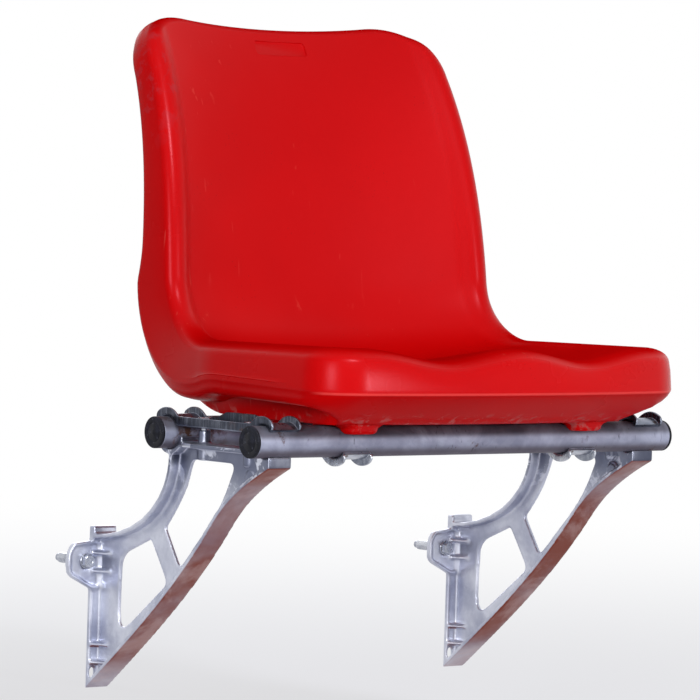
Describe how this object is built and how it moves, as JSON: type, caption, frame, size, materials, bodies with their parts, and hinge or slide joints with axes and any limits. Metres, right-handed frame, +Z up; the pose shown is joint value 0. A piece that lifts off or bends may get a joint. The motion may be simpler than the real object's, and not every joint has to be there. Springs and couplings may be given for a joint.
{
  "type": "stadium seat",
  "caption": "Moulded bucket seat with an open front and raised back, clamped by pressed straps to two round tubes on cast, windowed wall brackets.",
  "frame": {"origin": "in the wall plane, midway between the two brackets, level with the two wall anchor bolts", "axes": "+X along the tubes towards the sitter's left, +Y into the wall, +Z up; the sitter faces -Y"},
  "size_m": [0.5626, 0.4543, 0.693],
  "materials": {
    "shell": "satin gloss, moulded",
    "galvanised": "weathered zinc",
    "cap": "matt",
    "casting": "as cast, tumbled",
    "strap": "bright zinc plate",
    "fastener": "bright zinc plate",
    "insert": "plain"
  },
  "bodies": {
    "root": {"seat_shell": "shell", "rear_tube": "galvanised", "rear_cap_left": "cap", "rear_cap_right": "cap", "front_tube": "galvanised", "front_cap_left": "cap", "front_cap_right": "cap", "bracket_left": "casting", "bracket_strap_left": "strap", "seat_strap_left": "strap", "bracket_washer_rear_left": "fastener", "bracket_bolt_rear_left": "fastener", "seat_washer_rear_left": "fastener", "seat_bolt_rear_left": "fastener", "seat_insert_rear_left": "insert", "bracket_washer_front_left": "fastener", "bracket_bolt_front_left": "fastener", "seat_washer_front_left": "fastener", "seat_bolt_front_left": "fastener", "seat_insert_front_left": "insert", "anchor_washer_left": "fastener", "anchor_bolt_left": "fastener", "anchor_sleeve_left": "fastener", "bracket_right": "casting", "bracket_strap_right": "strap", "seat_strap_right": "strap", "bracket_washer_rear_right": "fastener", "bracket_bolt_rear_right": "fastener", "seat_washer_rear_right": "fastener", "seat_bolt_rear_right": "fastener", "seat_insert_rear_right": "insert", "bracket_washer_front_right": "fastener", "bracket_bolt_front_right": "fastener", "seat_washer_front_right": "fastener", "seat_bolt_front_right": "fastener", "seat_insert_front_right": "insert", "anchor_washer_right": "fastener", "anchor_bolt_right": "fastener", "anchor_sleeve_right": "fastener"}
  },
  "joints": []
}
